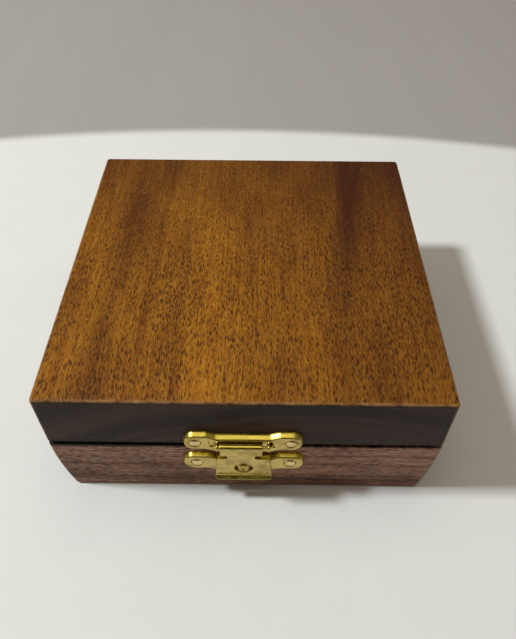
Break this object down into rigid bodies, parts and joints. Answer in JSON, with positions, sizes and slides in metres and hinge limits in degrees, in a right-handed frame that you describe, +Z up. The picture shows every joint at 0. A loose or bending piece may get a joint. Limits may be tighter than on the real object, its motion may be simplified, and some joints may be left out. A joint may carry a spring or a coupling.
{
  "type": "wooden instrument case",
  "caption": "Small square hardwood case with a routed, lined hollow, a lid on back hinges and a brass hasp latch on the front.",
  "frame": {"origin": "centre of the flat underside of the base block", "axes": "+Z up from the underside to the top of the lid; -Y towards the latch, +Y towards the hinges; +X to the right when facing the latch"},
  "size_m": [0.082, 0.0888, 0.0326],
  "materials": {
    "lid_wood": "satin oiled mahogany, golden brown",
    "base_wood": "satin mahogany, reddish brown",
    "velvet": "short pile, deep green",
    "latch_brass": "stamped and polished",
    "nail_brass": "polished",
    "hinge_brass": "stamped and polished",
    "pin_brass": "drawn wire"
  },
  "bodies": {
    "base": {"base_block": "base_wood", "base_wall_lining": "velvet", "base_floor_pad": "velvet", "latch_base_plate": "latch_brass", "latch_base_nails": "nail_brass", "hinge_left_base_leaf": "hinge_brass", "hinge_left_base_nails": "nail_brass", "hinge_left_pin": "pin_brass", "hinge_right_base_leaf": "hinge_brass", "hinge_right_base_nails": "nail_brass", "hinge_right_pin": "pin_brass"},
    "lid": {"lid_block": "lid_wood", "lid_wall_lining": "velvet", "lid_pad": "velvet", "latch_lid_plate": "latch_brass", "latch_lid_nails": "nail_brass", "latch_pin": "pin_brass", "hinge_left_lid_leaf": "hinge_brass", "hinge_left_lid_nails": "nail_brass", "hinge_right_lid_leaf": "hinge_brass", "hinge_right_lid_nails": "nail_brass"},
    "hasp": {"latch_hasp": "latch_brass"}
  },
  "joints": [
    {"name": "lid_hinge", "type": "hinge", "parent": "base", "child": "lid", "pos_m": [0, 0.04285, 0.01755], "axis": [-1, 0, 0], "range_deg": [0, 180]},
    {"name": "hasp_hinge", "type": "hinge", "parent": "lid", "child": "hasp", "pos_m": [-0.00035, -0.04385, 0.0205], "axis": [-1, 0, 0], "range_deg": [0, 180]}
  ]
}
